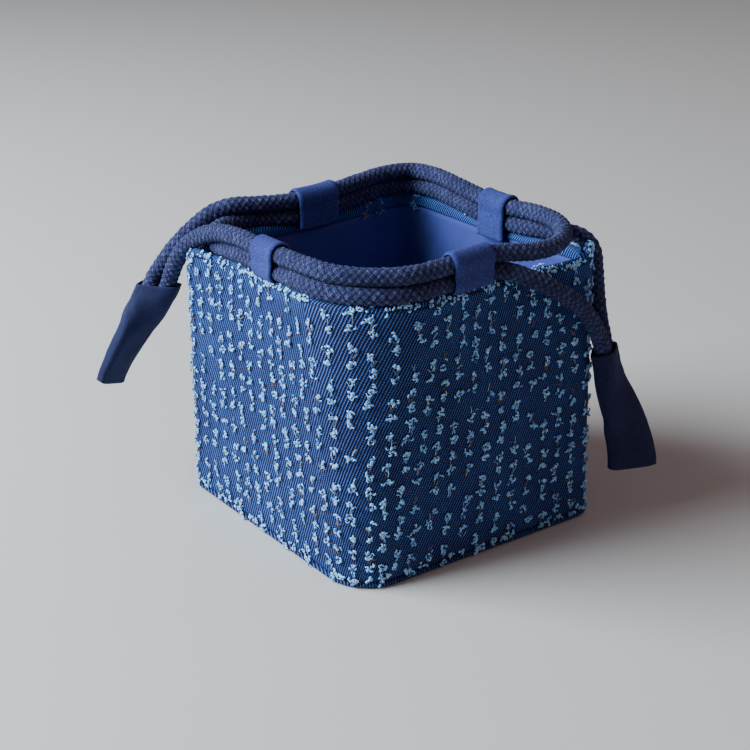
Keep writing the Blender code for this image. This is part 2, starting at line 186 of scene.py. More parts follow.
right_route = (
    (0.0467, -0.0501, 0.0544), (0.0463, -0.0498, 0.0564), (0.0445, -0.0499, 0.0614),
    (0.0412, -0.0502, 0.0670), (0.0368, -0.0504, 0.0726), (0.0310, -0.0502, 0.0776),
    (0.0254, -0.0499, 0.0814), (0.0202, -0.0492, 0.0846), (0.0156, -0.0476, 0.0870),
    (0.0118, -0.0452, 0.0886),
    *on_rim("side", 0, (0.47, 0.39, 0.30, 0.14), low_cord),
    *on_rim("corner", 0, (0.85, 0.50, 0.15), low_cord),
    *on_rim("side", 3, (0.90, 0.76, 0.62, 0.50), low_cord),
    (-0.0424, 0.0180, 0.0874), (-0.0418, 0.0260, 0.0865), (-0.0406, 0.0332, 0.0855),
    (-0.0390, 0.0388, 0.0861), (-0.0362, 0.0426, 0.0868), (-0.0320, 0.0450, 0.0872),
    (-0.0266, 0.0460, 0.08715), (-0.0200, 0.0457, 0.0871),
    *on_rim("side", 2, (0.58, 0.42, 0.20, 0.04), low_cord),
    *on_rim("corner", 2, (0.50,), low_cord),
    *on_rim("side", 1, (0.96, 0.80, 0.60, 0.47, 0.33), low_cord),
    (0.0446, -0.0210, 0.0890), (0.0456, -0.0270, 0.0898), (0.0473, -0.0318, 0.0903),
    (0.0496, -0.0356, 0.0888), (0.0507, -0.0380, 0.0856), (0.0508, -0.0392, 0.0810),
    (0.0507, -0.0402, 0.0760), (0.0505, -0.0414, 0.0708), (0.0504, -0.0428, 0.0656),
    (0.0504, -0.0446, 0.0606), (0.0505, -0.0460, 0.0566), (0.0508, -0.0464, 0.0546),
)


def distance_along(points):
    """Distance along a line to each of its points."""
    return np.concatenate([[0.0], np.cumsum(np.linalg.norm(np.diff(points, axis=0), axis=1))])


def smooth_route(entries, spacing):
    """Points at even steps along a smooth curve through a route's own points."""
    points = [above_rim(*e) if isinstance(e[0], tuple) else Vector(e) for e in entries]
    dense, cuts = [], 40
    for i in range(len(points) - 1):
        p0 = points[i - 1] if i else points[0] * 2 - points[1]
        p1, p2 = points[i], points[i + 1]
        p3 = points[i + 2] if i + 2 < len(points) else p2 * 2 - p1
        k1, k2, k3 = (max((b - a).length, 1e-6) ** 0.5
                      for a, b in ((p0, p1), (p1, p2), (p2, p3)))
        m1 = ((p1 - p0) / k1 - (p2 - p0) / (k1 + k2) + (p2 - p1) / k2) * k2
        m2 = ((p2 - p1) / k2 - (p3 - p1) / (k2 + k3) + (p3 - p2) / k3) * k2
        for step in range(cuts):
            t = step / cuts
            dense.append(p1 * (2 * t ** 3 - 3 * t ** 2 + 1) + m1 * (t ** 3 - 2 * t ** 2 + t)
                         + p2 * (3 * t ** 2 - 2 * t ** 3) + m2 * (t ** 3 - t ** 2))
    dense = np.array([tuple(p) for p in dense] + [tuple(points[-1])])
    run = distance_along(dense)
    even = np.linspace(0.0, run[-1], int(round(run[-1] / spacing)) + 1)
    return np.stack([np.interp(even, run, dense[:, k]) for k in range(3)], axis=1), even


def unit(vectors):
    """The same directions, each with length one."""
    return vectors / np.linalg.norm(vectors, axis=-1)[..., None]


def carried_frames(points):
    """Two directions square to a line at each of its points, without any twist."""
    ahead = unit(np.gradient(points, axis=0))
    side = np.cross(ahead[0], (0.0, 0.0, 1.0))
    first, second = [], []
    for direction in ahead:
        side = side - direction * side.dot(direction)
        side = side / np.linalg.norm(side)
        first.append(side)
        second.append(np.cross(direction, side))
    return np.array(first), np.array(second)


def spokes(first, second, around):
    """Directions from the middle of every ring of a tube out to the ring's points."""
    turn = 2 * np.pi * (np.arange(around) / around)[:, None]
    return np.cos(turn) * first[..., None, :] + np.sin(turn) * second[..., None, :]


def new_mesh(name, points, faces, mat):
    """A smooth-shaded mesh object in the frame's own place."""
    mesh = bpy.data.meshes.new(name)
    mesh.from_pydata([tuple(p) for p in points], [], [tuple(f) for f in faces])
    mesh.update()
    mesh.shade_smooth()
    mesh.materials.append(mat)
    obj = bpy.data.objects.new(name, mesh)
    bpy.context.scene.collection.objects.link(obj)
    return obj


def grid_faces(rows, columns, closed_rows=False):
    """Quads of a grid of rings; each ring closes on itself."""
    r = np.arange(rows if closed_rows else rows - 1)
    c = np.arange(columns)
    a = r[:, None] * columns + c[None, :]
    b = r[:, None] * columns + (c[None, :] + 1) % columns
    up_row = ((r + 1) % rows)[:, None] * columns
    return np.stack([a, b, up_row + (c[None, :] + 1) % columns, up_row + c[None, :]],
                    axis=-1).reshape(-1, 4)


def closed_loft(rows, around):
    """Faces of a loft of rings, with its two ends closed flat."""
    last = (rows - 1) * around
    return [*map(tuple, grid_faces(rows, around)), tuple(range(around - 1, -1, -1)),
            tuple(range(last, last + around))]


def set_uv(obj, corner_uv):
    """Give each face corner its own place on the cloth."""
    layer = obj.data.uv_layers.new(name="cloth")
    layer.data.foreach_set("uv", np.asarray(corner_uv, dtype=np.float32).ravel())


def wire(tree, target, **sockets):
    """Link or set a shader node's sockets by name, or by number as s0, s1."""
    for key, value in sockets.items():
        slot = target.inputs[int(key[1:]) if key[1:].isdigit() else key.replace("_", " ")]
        if isinstance(value, bpy.types.NodeSocket):
            tree.links.new(value, slot)
        else:
            slot.default_value = value
    return target


def node(tree, kind, settings=(), **sockets):
    """Add a shader node with its settings, wired up."""
    new = tree.nodes.new(kind)
    for key, value in dict(settings).items():
        setattr(new, key, value)
    return wire(tree, new, **sockets)


def maths(tree, operation, a, b=0.0):
    """One step of arithmetic between two signals or numbers."""
    return node(tree, "ShaderNodeMath", {"operation": operation}, s0=a, s1=b).outputs[0]


def add_share(tree, tone, extra, share):
    """Add a share of one signal to another."""
    return maths(tree, "ADD", tone, maths(tree, "MULTIPLY", extra, share))


def add_uneven(tree, tone, cells, share):
    """Make a signal uneven by a noise, as much up as down."""
    return add_share(tree, tone, maths(tree, "SUBTRACT", cells, 0.5), share)


def ramp(tree, factor, stops):
    """Colour ramp through (position, colour) stops."""
    new = node(tree, "ShaderNodeValToRGB", s0=factor)
    while len(new.color_ramp.elements) < len(stops):
        new.color_ramp.elements.new(0.5)
    for element, (place, colour) in zip(new.color_ramp.elements, stops):
        element.position = place
        element.color = (*colour, 1.0)
    return new.outputs[0]


def new_material(name):
    """A node material, with its tree and its shader."""
    mat = bpy.data.materials.new(name)
    mat.use_nodes = True
    return mat, mat.node_tree, mat.node_tree.nodes["Principled BSDF"]


def cloth_noise(tree, scale, detail=3.0, rough=0.6):
    """Noise in the piece's own space; scale is in cells per metre."""
    place = node(tree, "ShaderNodeTexCoord").outputs["Object"]
    return node(tree, "ShaderNodeTexNoise", Vector=place, Scale=scale, Detail=detail,
                Roughness=rough).outputs[0]


def cloth_map(tree):
    """The places across and along the cloth, from the piece's own map."""
    place = node(tree, "ShaderNodeUVMap", {"uv_map": "cloth"}).outputs[0]
    return node(tree, "ShaderNodeSeparateXYZ", s0=place).outputs[:2]


def cloth_finish(tree, shader, colour, relief, depth, strength=1.0, rough=0.95, gloss=0.12,
                 sheen=0.08, sheen_rough=0.5, tint=(1.0, 1.0, 1.0)):
    """Colour and fine relief of a matte cloth, with the little light its fluff catches."""
    bump = node(tree, "ShaderNodeBump", Height=relief, Distance=depth, Strength=strength)
    wire(tree, shader, Base_Color=colour, Normal=bump.outputs[0], Roughness=rough,
         Specular_IOR_Level=gloss, Sheen_Weight=sheen, Sheen_Roughness=sheen_rough,
         Sheen_Tint=(*tint, 1.0))


# Braided cotton: each strand is a bundle of fine yarns. Its colour follows the height of the
# braid
# as painted shade: pale on the crowns and nearly black where a strand dives under the next one.
# The map runs across a strand and then along it.
braid, tree, shader = new_material("braided_cotton")
across, along = cloth_map(tree)
fuzz = cloth_noise(tree, 1800.0, 4.0, 0.7)
patch = cloth_noise(tree, 90.0, 2.0)
yarns = maths(tree, "SINE", add_share(tree, maths(tree, "MULTIPLY", across, 9.0), fuzz, 5.0))
# Painted shade: the braid's height at each point darkens the colour where strands dive.
strand = node(tree, "ShaderNodeAttribute", {"attribute_name": "braid_height_as_shade"}).outputs["Fac"]
tone = add_share(tree, maths(tree, "MULTIPLY", strand, 0.62), yarns, 0.08)
tone = add_uneven(tree, tone, fuzz, 1.35)
tone = add_uneven(tree, tone, patch, 0.3)
colour = ramp(tree, tone, ((0.0, (0.003, 0.003, 0.011)), (0.3, (0.011, 0.012, 0.040)),
                           (0.62, (0.034, 0.040, 0.125)), (1.0, (0.15, 0.185, 0.40))))
cloth_finish(tree, shader, colour, add_share(tree, fuzz, yarns, 0.5), 0.00022,
             sheen_rough=0.55, tint=(0.45, 0.55, 0.85))


def stray_fibres(line, first, second, seed):
    """Short curled hairs that stand off the yarn, each a thin spike of three sides."""
    count, thick, sunk = 2600, 0.000034, 0.0003
    shortest, longest, lean_spread, most_lean, sway = 0.0005, 0.0011, 0.9, 1.1, 0.6
    rng = np.random.default_rng(seed)
    spot = rng.integers(3, len(line) - 3, count)
    angle = rng.uniform(0, 2 * np.pi, count)
    out = np.cos(angle)[:, None] * first[spot] + np.sin(angle)[:, None] * second[spot]
    lean, curl = np.clip(rng.normal(0, lean_spread, (2, count, 3)), -most_lean, most_lean)
    long = rng.uniform(shortest, longest, (count, 1, 1))
    t = np.array([0.0, 0.35, 0.7, 1.0])[None, :, None]
    path = (line[spot] + out * (cord_thick / 2 - sunk))[:, None, :] + long * (
        out[:, None, :] * t + lean[:, None, :] * t * sway + curl[:, None, :] * t * t * sway)
    one = unit(np.cross(out, lean))
    spoke = spokes(one, np.cross(out, one), 3)
    taper = thick * np.array([1.0, 0.85, 0.6])
    rings = path[:, :3, None, :] + spoke[:, None, :, :] * taper[None, :, None, None]
    # Each hair has three rings of three points and a tip: open quads, a foot and a cone.
    points = np.concatenate([rings.reshape(count, 9, 3), path[:, 3:]], axis=1).reshape(-1, 3)
    start = np.arange(count)[:, None, None] * 10
    quads = (grid_faces(3, 3)[None] + start).reshape(-1, 4)
    ends = (np.array([[0, 2, 1], [6, 7, 9], [7, 8, 9], [8, 6, 9]])[None] + start).reshape(-1, 3)
    return points, quads, ends


def braided_cord(name, route, seed):
    """A round braid of six strands each way, as one skin with a bump for each crossing."""
    strands, pitch, around, steps = 6, 0.0022, 48, 7
    dive, crown, flank, uneven = 0.34, 0.62, 0.96, 0.22
    core, relief, fuzz = cord_thick / 2 - 0.00034, 0.00064, 0.00003
    wander, wander_rate, slip, slip_rate = 0.15, 40.0, 0.14, 170.0
    line, run = smooth_route(route, pitch / steps)
    first, second = carried_frames(line)
    # u counts the strands round the cord and v the crossings along it, both a little
    # uneven; p and q run across the strands that lean one way and the other way.
    u = strands * np.arange(around) / around + wander * np.sin(run[:, None] * wander_rate + seed)
    v = run[:, None] / pitch + slip * np.sin(run[:, None] * slip_rate + seed * 2.0)
    p, q = u - v, u + v
    k, m = np.floor(p + 0.5), np.floor(q + 0.5)
    across_s, across_z = 2 * (p - k), 2 * (q - m)
    # A scrambled number for each crossing, from -0.5 to 0.5.
    own = np.sin((k % strands) * 12.99 + m * 78.23 + seed) * 43758.5
    own = own - np.floor(own) - 0.5
    lift_s = dive * np.cos(np.pi * (q + k)) + crown * np.sqrt(1 - flank * across_s ** 2)
    lift_z = -dive * np.cos(np.pi * (p + m)) + crown * np.sqrt(1 - flank * across_z ** 2)
    top = np.maximum(lift_s, lift_z) + uneven * own
    radius = core + relief * top + np.random.default_rng(seed).normal(0, fuzz, top.shape)
    # Both cords swell a little where they press together beside the left corner.
    swell, reach, crossing = 0.00032, 0.013, (-0.034, 0.046, 0.0885)
    near = np.linalg.norm(line - crossing, axis=1) / reach
    radius += swell * np.exp(-near ** 2)[:, None]
    points = line[:, None, :] + radius[..., None] * spokes(first, second, around)
    hairs, hair_sides, hair_ends = stray_fibres(line, first, second, seed)
    skin = len(line) * around
    obj = new_mesh(name, np.concatenate([points.reshape(-1, 3), hairs]),
                   [*closed_loft(len(line), around), *map(tuple, hair_sides + skin),
                    *map(tuple, hair_ends + skin)], braid)
    # The map of each face is that of the strand on top there: across it, then along it.
    faces = grid_faces(len(line), around)
    corner_u, corner_v = (np.broadcast_to(way, top.shape).ravel()[faces] for way in (u, v))
    wrap = corner_u.max(axis=1) - corner_u.min(axis=1) > strands / 2
    corner_u = np.where(wrap[:, None] & (corner_u < strands / 2), corner_u + strands, corner_u)
    cp, cq = corner_u - corner_v, corner_u + corner_v
    mid_p, mid_q = cp.mean(axis=1), cq.mean(axis=1)
    face_k, face_m = np.floor(mid_p + 0.5), np.floor(mid_q + 0.5)
    on_top = (np.cos(np.pi * (mid_q + face_k)) > -np.cos(np.pi * (mid_p + face_m)))[:, None]
    uv = np.stack([np.where(on_top, 2 * (cp - face_k[:, None]), 2 * (cq - face_m[:, None])),
                   np.where(on_top, cq, cp)], axis=-1).reshape(-1, 2)
    loose_corners = 2 * around + 4 * len(hair_sides) + 3 * len(hair_ends)
    set_uv(obj, np.concatenate([uv, np.zeros((loose_corners, 2))]))
    # Painted shade: each point's height in the braid darkens its low places; the stray hairs all
    # get one tone.
    shades = np.concatenate([np.clip(0.12 + top, 0, 1.1).ravel(), np.full(len(hairs), 0.8)])
    height = obj.data.attributes.new("braid_height_as_shade", "FLOAT", "POINT")
    height.data.foreach_set("value", shades.astype(np.float32))
    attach(obj, "root")
    return obj, line


left_cord, left_line = braided_cord("drawcord_left_braid", left_route, 3)
right_cord, right_line = braided_cord("drawcord_right_braid", right_route, 8)
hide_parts("drawcord_left")
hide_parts("drawcord_right")


# ------------------------------
# Denim wall: one band of stiff jacquard denim round the four sides, folded over the
# rim and sewn down inside as a narrow facing. Fine steep twill, pale on the ribs.
# ------------------------------
denim_thick, facing_thick = 0.0016, 0.0018
fold = (denim_thick + facing_thick) / 2
base_thick = 0.0016
foot = base_thick + cloth_gap
wall_height = 0.0848 - foot
roll_start = wall_height - fold
facing_level = 0.955


def plan_places(arc_steps, side_steps):
    """Places round the bag, with the distance along the cloth to each."""
    places = []
    measured_at = 0.6
    for index in range(4):
        places += [("corner", index, step / arc_steps) for step in range(arc_steps + 1)]
        places += [("side", index, step / side_steps) for step in range(1, side_steps)]
    plans = [tuple(find_plan(place, measured_at)[0]) for place in places]
    return places, distance_along(np.array(plans + plans[:1]))


def plump(place):
    """How much the padded rim stands above its plain line, most beside the left corner."""
    kind, index, f = place
    padding, most, starts, rise_over, fall_over = 0.00015, 0.0010, 0.56, 0.08, 0.1
    beside = ease((f - starts) / rise_over) * ease((1 - f) / fall_over)
    return padding + (most * beside if kind == "side" and index == 2 else 0.0)


def cloth_wave(distance, height):
    """How far stiff cloth stands off its true plane, never even, and held at both ends."""
    top, slow_most, quick_most = 0.084, 0.00030, 0.00010
    slow = noise.noise((distance * 28.0, height * 20.0, 3.0))
    quick = noise.noise((distance * 95.0, height * 60.0, 9.0))
    hold = math.sin(math.pi * min(max(height / top, 0.0), 1.0)) ** 0.5
    return (slow_most * slow + quick_most * quick) * hold


places, run = plan_places(20, 56)
girth = run[-1]


def wall_row(level, inset, lift=0.0, wave=1.0):
    """One row of the band at a share of its height, with its share of the cloth's wave."""
    row = []
    for place, distance in zip(places, run):
        plan, height, _ = find_plan(place, level, inset)
        z = mix(foot, height + plump(place), level) + lift
        out = plan.normalized() * cloth_wave(distance, z) * wave
        row.append((*(plan + out), z))
    return row


def facing_row(level, depth_share, inset):
    """One row of the facing, from the end of the roll down to its cut edge."""
    row, shallowest = [], fold + 0.0001
    for place in places:
        plan, height, facing = find_plan(place, level, inset)
        edge = max(facing, shallowest)
        row.append((*plan, height - mix(fold - plump(place), edge, depth_share)))
    return row


# Up the outside, over the rolled rim, down the facing, under its edge and down the
# inside. Beside each row stands its distance along the cloth, counted from the foot.
outside_levels, inside_levels, inside_top, foot_inset = 61, 10, 0.92, 0.0004
facing_run, edge_run, inside_run, inside_step = 0.0023, 0.0040, 0.0045, 0.0078
rows, heights = [wall_row(0.0, foot_inset, 0.0, 0.0)], [0.0]
for step in range(1, outside_levels):
    level = step / outside_levels
    rows.append(wall_row(level, 0.0))
    heights.append(level * wall_height)
for angle in range(0, 181, 18):
    a = math.radians(angle)
    rows.append(wall_row(1.0, fold * (1 - math.cos(a)), -fold * (1 - math.sin(a))))
    heights.append(roll_start + fold * a)
rolled = heights[-1]
for share in (0.35, 0.7, 1.0):
    rows.append(facing_row(mix(1.0, facing_level, share), share, denim_thick + facing_thick))
    heights.append(rolled + share * facing_run)
rows.append(facing_row(facing_level, 1.0, denim_thick))
heights.append(rolled + edge_run)
for step in range(inside_levels, -1, -1):
    level = inside_top * step / inside_levels
    rows.append(wall_row(level, denim_thick, 0.0, 1.0 if step else 0.0))
    heights.append(rolled + inside_run + (inside_levels - step) * inside_step)

# Jacquard denim: warp ribs of pale faded blue over a nearly black blue ground, which is partly
# the weave's own dark blue and partly painted shade in the grooves. A little lighter from just
# below the rim, over the roll and down the inside.
rib_pitch, rib_slope = 0.00098, math.tan(math.radians(66.0))
weft_pitch, weft_run = 0.0008, 0.0021
lighter_from, lighter_to = wall_height - 0.007, wall_height + 0.001
denim, tree, shader = new_material("tufted_denim")
across, along = cloth_map(tree)
drift = cloth_noise(tree, 260.0, 2.0)
fibre = cloth_noise(tree, 2600.0, 3.0, 0.7)
patch = cloth_noise(tree, 55.0, 3.0)
phase = maths(tree, "SUBTRACT", across, maths(tree, "MULTIPLY", along, 1 / rib_slope))
phase = maths(tree, "MULTIPLY", phase, 2 * math.pi / rib_pitch)
phase = add_share(tree, phase, drift, 3.4)
rib = maths(tree, "ADD", maths(tree, "MULTIPLY", maths(tree, "COSINE", phase), 0.5), 0.5)
# The power widens the dark grooves: partly the weave's own colour, partly painted shade.
rib = maths(tree, "POWER", rib, 1.5)
weft = maths(tree, "MULTIPLY", along, 2 * math.pi / weft_pitch)
weft = maths(tree, "SINE", add_share(tree, weft, across, 2 * math.pi / weft_run))
tone = add_share(tree, maths(tree, "MULTIPLY", rib, 0.88), weft, 0.13)
tone = add_uneven(tree, tone, fibre, 0.75)
tone = add_uneven(tree, tone, patch, 0.40)
# Lighter from a little below the rim, over the roll and down the inside.
rim_lightening = node(tree, "ShaderNodeMapRange", Value=along, From_Min=lighter_from, From_Max=lighter_to)
tone = add_share(tree, tone, rim_lightening.outputs[0], 0.16)
colour = ramp(tree, tone, ((0.0, (0.007, 0.006, 0.020)), (0.32, (0.015, 0.012, 0.050)),
                           (0.62, (0.021, 0.037, 0.165)), (1.0, (0.052, 0.19, 0.62))))
cloth_finish(tree, shader, colour, add_share(tree, rib, fibre, 0.5), 0.00026, rough=0.85,
             sheen=0.04, tint=(0.5, 0.65, 1.0))


def ring_cloth(name, rows, heights, mat):
    """A closed band of rings with its own map: distance round the bag and up the cloth."""
    count, foot_turn = len(places), 0.001
    faces = grid_faces(len(rows), count, closed_rows=True)
    obj = new_mesh(name, np.array(rows).reshape(-1, 3), faces, mat)
    lower = np.array(heights)
    upper = np.append(lower[1:], lower[-1] + foot_turn)
    uv = np.empty((len(lower), count, 4, 2))
    uv[:, :, 0, 0] = uv[:, :, 3, 0] = run[:-1]
    uv[:, :, 1, 0] = uv[:, :, 2, 0] = run[1:]
    uv[:, :, 0, 1] = uv[:, :, 1, 1] = lower[:, None]
    uv[:, :, 2, 1] = uv[:, :, 3, 1] = upper[:, None]
    set_uv(obj, uv.reshape(-1, 2))
    return obj


wall = ring_cloth("denim_wall_cloth", rows, heights, denim)
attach(wall, "root")
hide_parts("denim_wall")


# ------------------------------
# Tufts: where the jacquard's loose yarns are cut, each end opens into small curled
# puffs of pale cotton. They stand in upright columns, every other column half a
# step higher, over the whole wall and on over the rim.
# ------------------------------
# Columns round the bag, how far on the first one is as a share of a column's width, and
# the spacing up a column from its lowest tuft. Then how far tufts stand off their column
# and columns off their start.
column_count, first_column = 62, 0.35
tuft_step, lowest_tuft = 0.0098, 0.0022
off_column, off_start = 0.00035, 0.0006
# How much of their rise the tufts on the facing keep, and the share of their tone left by painted
# shade under the cords.
pressed, facing_shade = 0.25, 0.45
# Where along the cloth, counted from the foot, the last tuft of a column may stand.
facing_end = roll_start + fold * math.pi + 0.0016
# Angles over the rolled rim, in radians, between which the cords lie and no tufts stand.
bare_from, bare_to = 0.9, 2.9
# One tuft: how far its two puffs lie from its middle, half their height, how many ends
# they have, and the length, width and rise of an end. Then the same for the loose puffs
# along an edge, and the threads between two puffs, which start below the tuft's middle.
puff_off, puff_half, puff_count = (0.0018, 0.0025), (0.0005, 0.0009), (7, 10)
end_long, end_wide, end_rise = (0.0010, 0.0018), (0.00018, 0.00036), (0.3, 1.2)
fringe_long, fringe_wide, fringe_rise = (0.0009, 0.0015), (0.00018, 0.00032), (0.3, 0.9)
fringe_count, curl_range = (5, 9), (1.5, 3.6)
thread_long, thread_wide, thread_start, thread_rise = 0.0025, (0.00007, 0.00013), 0.0012, 0.3


def cloth_place(distance, length):
    """Point on the outside of the wall, with the directions out, sideways and up.

    distance runs round the bag; length runs up the wall, over the rim and down."""
    nearby = 0.0003
    distance %= girth
    i = min(int(np.searchsorted(run, distance, side="right")) - 1, len(places) - 1)
    share = (distance - run[i]) / (run[i + 1] - run[i])

    def at(column, travel):
        place = places[column % len(places)]
        if travel <= roll_start:
            level = travel / roll_start
            plan, height, _ = find_plan(place, level)
            z = mix(foot, height + plump(place) - fold, level)
        else:
            a = (travel - roll_start) / fold
            drop = max(a - math.pi, 0.0) * fold
            a = min(a, math.pi)
            plan, height, _ = find_plan(place, 1.0, fold * (1 - math.cos(a)))
            z = height + plump(place) - fold * (1 - math.sin(a)) - drop
        out = plan.normalized() * cloth_wave(run[column % len(places)], z)
        return Vector((*(plan + out), z))

    point = at(i, length).lerp(at(i + 1, length), share)
    sideways = (at(i + 1, length) - at(i, length)).normalized()
    upward = (at(i, length + nearby) - at(i, length - nearby)).normalized()
    out = sideways.cross(upward).normalized()
    return point, out, sideways, upward


cotton, tree, shader = new_material("cut_cotton_yarn")
tone = node(tree, "ShaderNodeAttribute", {"attribute_name": "yarn_tone"}).outputs["Fac"]
fibre = cloth_noise(tree, 3200.0, 3.0, 0.7)
colour = ramp(tree, add_uneven(tree, tone, fibre, 0.22),
              ((0.0, (0.10, 0.055, 0.03)), (0.12, (0.30, 0.22, 0.17)),
               (0.2, (0.03, 0.11, 0.40)), (0.45, (0.21, 0.44, 0.82)),
               (1.0, (0.37, 0.70, 1.0))))
cloth_finish(tree, shader, colour, fibre, 0.00010, 0.8, gloss=0.15, sheen=0.1,
             sheen_rough=0.6)


def curled_end(rng, place, long, wide, rise):
    """One cut end: its root, heading, curl, length, width and rise off the cloth."""
    return (place, rng.uniform(0, 2 * math.pi), rng.choice((-1, 1)) * rng.uniform(*curl_range),
            rng.uniform(*long), rng.uniform(*wide), rng.uniform(*rise))


def tuft_ends(rng, distance, length, flat):
    """One tuft: two small puffs, one above the other, and the threads between them.

    Each end comes with its tone; flat is the share of its rise that is left."""
    missing, blue_share, slant, scatter = 0.05, 0.10, 0.0003, 0.0004
    ends = []
    lean = rng.normal(0, slant)
    dullness = rng.uniform(0.0, 0.15)
    for half in (1, -1):
        if rng.random() < missing:
            continue
        middle = half * rng.uniform(*puff_off)
        tall = rng.uniform(*puff_half)
        for _ in range(int(rng.integers(*puff_count))):
            place = cloth_place(distance + lean * half + rng.normal(0, scatter),
                                length + middle + rng.uniform(-1, 1) * tall)
            end = curled_end(rng, place, end_long, end_wide, end_rise)
            blue = rng.random() < blue_share
            tone = 0.22 + 0.12 * rng.random() if blue else rng.uniform(0.55, 1.0) - dullness
            ends.append((*end[:5], end[5] * flat, tone))
    for _ in range(2):
        place = cloth_place(distance + rng.normal(0, slant), length - thread_start)
        ends.append((place, rng.normal(0, 0.18), rng.normal(0, 0.8), thread_long,
                     rng.uniform(*thread_wide), thread_rise * flat,
                     rng.choice((0.05, 0.12, 0.6, 0.8))))
    return ends


def fringe_ends(rng, distance, length):
    """One loose puff on an edge of the cloth, at the rim or the foot."""
    lowest, spread_along, spread_up = 0.0003, 0.0006, 0.0004
    ends = []
    for _ in range(int(rng.integers(*fringe_count))):
        place = cloth_place(distance + rng.normal(0, spread_along),
                            max(length + rng.normal(0, spread_up), lowest))
        end = curled_end(rng, place, fringe_long, fringe_wide, fringe_rise)
        ends.append((*end, rng.uniform(0.6, 1.0)))
    return ends


def yarn_mesh(name, ends, seed):
    """Every cut end as a little flattened curling tube, thin at its root."""
    rng = np.random.default_rng(seed)
    count, stations, around = len(ends), 5, 5
    flatness, rough, above_cloth, tightening, arch = 0.75, 0.00004, 0.4, 1.3, 2.2
    root_point, tip_point = 0.0001, 0.6
    root = np.array([e[0][0] for e in ends])
    out, side, upward = (np.array([e[0][k] for e in ends]) for k in (1, 2, 3))
    angle, curl, long, wide, rise, tone = (np.array([e[k] for e in ends]) for k in range(1, 7))
    t = np.linspace(0, 1, stations)
    bend = angle[:, None] + curl[:, None] * t[None, :] ** tightening
    step = (long / (stations - 1))[:, None]
    climb = rise[:, None] * np.cos(t[None, :] * arch)
    heading = (np.sin(bend)[..., None] * side[:, None, :] + np.cos(bend)[..., None]
               * upward[:, None, :] + climb[..., None] * out[:, None, :])
    heading = unit(heading)
    line = root[:, None, :] + np.cumsum(heading * step[..., None], axis=1)
    line += out[:, None, :] * wide[:, None, None] * above_cloth
    flatways = unit(np.cross(heading, out[:, None, :]))
    edgeways = np.cross(flatways, heading) * flatness
    taper = np.array([0.6, 1.0, 0.9, 1.05, 0.6])
    size = wide[:, None] * taper[None, :] * rng.uniform(0.75, 1.3, (count, stations))
    points = line[:, :, None, :] + spokes(flatways, edgeways, around) * size[..., None, None]
    points += rng.normal(0, rough, points.shape)
    tips = np.stack([line[:, 0] - heading[:, 0] * root_point,
                     line[:, -1] + heading[:, -1] * size[:, -1, None] * tip_point], axis=1)
    block = stations * around + 2
    every = np.concatenate([points.reshape(count, -1, 3), tips], axis=1).reshape(-1, 3)
    # No yarn goes into the ground: what would is folded up just above it.
    ground, folded = 0.0001, 0.2
    every[:, 2] = np.maximum(every[:, 2], ground + folded * np.abs(every[:, 2] - ground))
    quads = grid_faces(stations, around)[:, ::-1]
    ring_ids = np.arange(around)
    nexts = (ring_ids + 1) % around
    foot_fan = np.stack([ring_ids, nexts, np.full(around, block - 2)], axis=1)
    last = (stations - 1) * around
    tip_fan = np.stack([last + nexts, last + ring_ids, np.full(around, block - 1)], axis=1)
    offset = (np.arange(count) * block)[:, None, None]
    fans = np.concatenate([foot_fan, tip_fan])
    obj = new_mesh(name, every, [*(quads[None] + offset).reshape(-1, 4),
                                 *(fans[None] + offset).reshape(-1, 3)], cotton)
    values = obj.data.attributes.new("yarn_tone", "FLOAT", "POINT")
    values.data.foreach_set("value", np.repeat(tone, block).astype(np.float32))
    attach(obj, "root")
    return obj


# Lowest and highest place up the cloth of a fringe, and how often a puff stands there.
rim_fringe = (wall_height - 0.7 * fold, wall_height - 0.25 * fold, 0.8)
foot_fringe = (0.0004, 0.0018, 0.5)
rng = np.random.default_rng(21)
tufts = ([], [], [], [])
for column in range(column_count):
    distance = (column + first_column) * girth / column_count
    quarter = min(int(column * 4 / column_count), 3)
    travel = lowest_tuft + (tuft_step / 2 if column % 2 else 0.0) + rng.normal(0, off_start)
    while travel < facing_end:
        angle = (travel - roll_start) / fold
        if angle < bare_from:
            shift = distance + rng.normal(0, off_column)
            tufts[quarter].extend(tuft_ends(rng, shift, travel, 1.0))
        elif angle > bare_to and quarter != 1:
            # Tufts on the facing are pressed flat by the cords, and their tone is darkened there
            # as painted shade under the cords. The back right side has none there.
            ends = tuft_ends(rng, distance + rng.normal(0, off_column), travel, pressed)
            tufts[quarter].extend((*end[:6], end[6] * facing_shade) for end in ends)
        travel += tuft_step * rng.uniform(0.9, 1.1)
    for lowest, highest, chance in (rim_fringe, foot_fringe):
        for beside in (0.0, 0.5):
            if rng.random() > chance:
                continue
            shift = distance + (beside + rng.normal(0, 0.12)) * girth / column_count
            tufts[quarter].extend(fringe_ends(rng, shift, rng.uniform(lowest, highest)))
for name, ends, seed in zip(("tufts_front_right", "tufts_back_right", "tufts_back_left",
                             "tufts_front_left"), tufts, (1, 2, 3, 4)):
    yarn_mesh(name, ends, seed)


# ------------------------------
# Denim base: a square of the same cloth under the wall. Its edge is turned and
# sewn, and stands out all round as a thin lip.
# ------------------------------
def map_points(obj, faces, across, along):
    """Give each point its own place on the cloth, the same in all its faces."""
    order = np.concatenate([np.array(face) for face in faces])
    set_uv(obj, np.stack([across[order], along[order]], axis=1))


def flat_square(name, profile, inset, bottom, mat):
    """A flat cloth with a rounded edge: (step inwards, height) round it, closed flat."""
    points = np.array([(*find_plan(place, 0.0, inset + step)[0], bottom + z)
                       for step, z in profile for place in places])
    faces = closed_loft(len(profile), len(places))
    obj = new_mesh(name, points, faces, mat)
    map_points(obj, faces, points[:, 0], points[:, 1])
    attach(obj, "root")
    return obj


